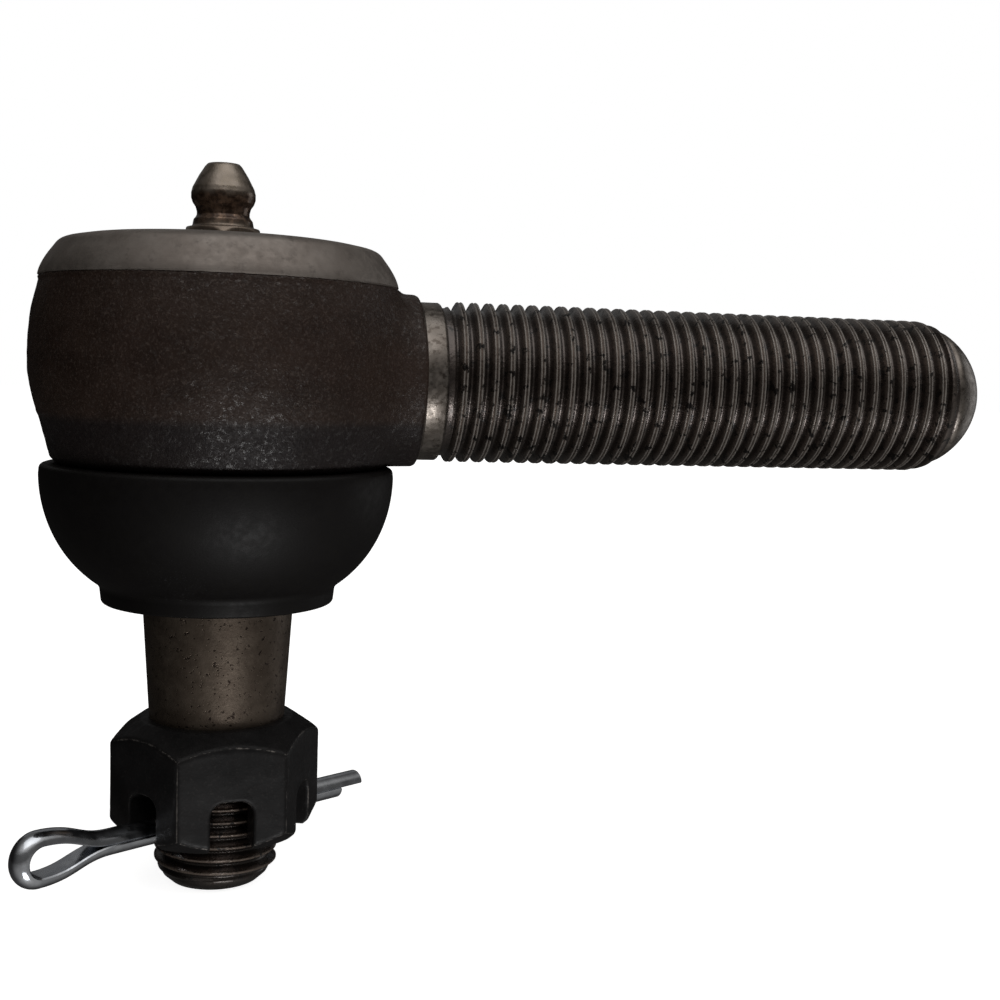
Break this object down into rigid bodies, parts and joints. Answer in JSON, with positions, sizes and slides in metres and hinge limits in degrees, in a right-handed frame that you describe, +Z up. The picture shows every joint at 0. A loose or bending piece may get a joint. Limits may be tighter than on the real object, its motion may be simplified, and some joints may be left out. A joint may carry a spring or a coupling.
{
  "type": "tie rod end",
  "caption": "Steering ball joint: a greasable socket with an integral threaded shank, a taper stud with slotted nut and split pin, and a rubber dust boot.",
  "frame": {"origin": "centre of the ball", "axes": "+X runs out along the threaded shank, +Z points up through the grease nipple, -Z runs down the ball stud"},
  "size_m": [0.0975, 0.0358, 0.0702],
  "materials": {
    "forging": "dark forging scale, granular and slightly oily",
    "machined_rim": "satin turned steel",
    "thread_steel": "dark oiled steel with bright crests",
    "cover_steel": "satin pressed steel",
    "nipple_steel": "satin with a film of old grease",
    "ball_steel": "polished",
    "spring_steel": "oil tempered",
    "seat_plastic": "greased moulded acetal",
    "stud_steel": "ground steel with dark pitting",
    "black_oxide": "black oxide with bright worn edges",
    "zinc": "bright bluish zinc",
    "boot_rubber": "matte black rubber"
  },
  "bodies": {
    "socket": {"socket_housing": "forging", "cover_plate": "cover_steel", "grease_nipple": "nipple_steel", "nipple_spring": "spring_steel", "disc_spring": "spring_steel", "lower_seat": "seat_plastic"},
    "upper_bearing": {"upper_seat": "seat_plastic"},
    "check_ball": {"nipple_ball": "ball_steel"},
    "boot": {"boot_top_ring": "spring_steel", "dust_boot": "boot_rubber"},
    "boot_lip": {"boot_lip_ring": "spring_steel"},
    "stud": {"ball_stud": "stud_steel", "castle_nut": "black_oxide", "cotter_pin": "zinc"}
  },
  "joints": [
    {"name": "swing_direction", "type": "hinge", "parent": "socket", "child": "boot", "pos_m": [0, 0, 0], "axis": [0, 0, 1], "continuous": true},
    {"name": "stud_swing", "type": "hinge", "parent": "boot", "child": "boot_lip", "pos_m": [0, 0, 0], "axis": [0, 1, 0], "range_deg": [-22, 22], "deforming": ["dust_boot"]},
    {"name": "stud_spin", "type": "hinge", "parent": "boot_lip", "child": "stud", "pos_m": [0, 0, 0], "axis": [0, 0, 1], "continuous": true},
    {"name": "seat_lift", "type": "slide", "parent": "socket", "child": "upper_bearing", "axis": [0, 0, 1], "range_m": [0, 0.0003], "stiffness_N_per_m": 20000, "springref_m": -0.0005, "deforming": ["disc_spring"]},
    {"name": "nipple_check", "type": "slide", "parent": "socket", "child": "check_ball", "axis": [0, 0, -1], "range_m": [0, 0.0008], "stiffness_N_per_m": 400, "springref_m": -0.0005, "deforming": ["nipple_spring"]}
  ]
}
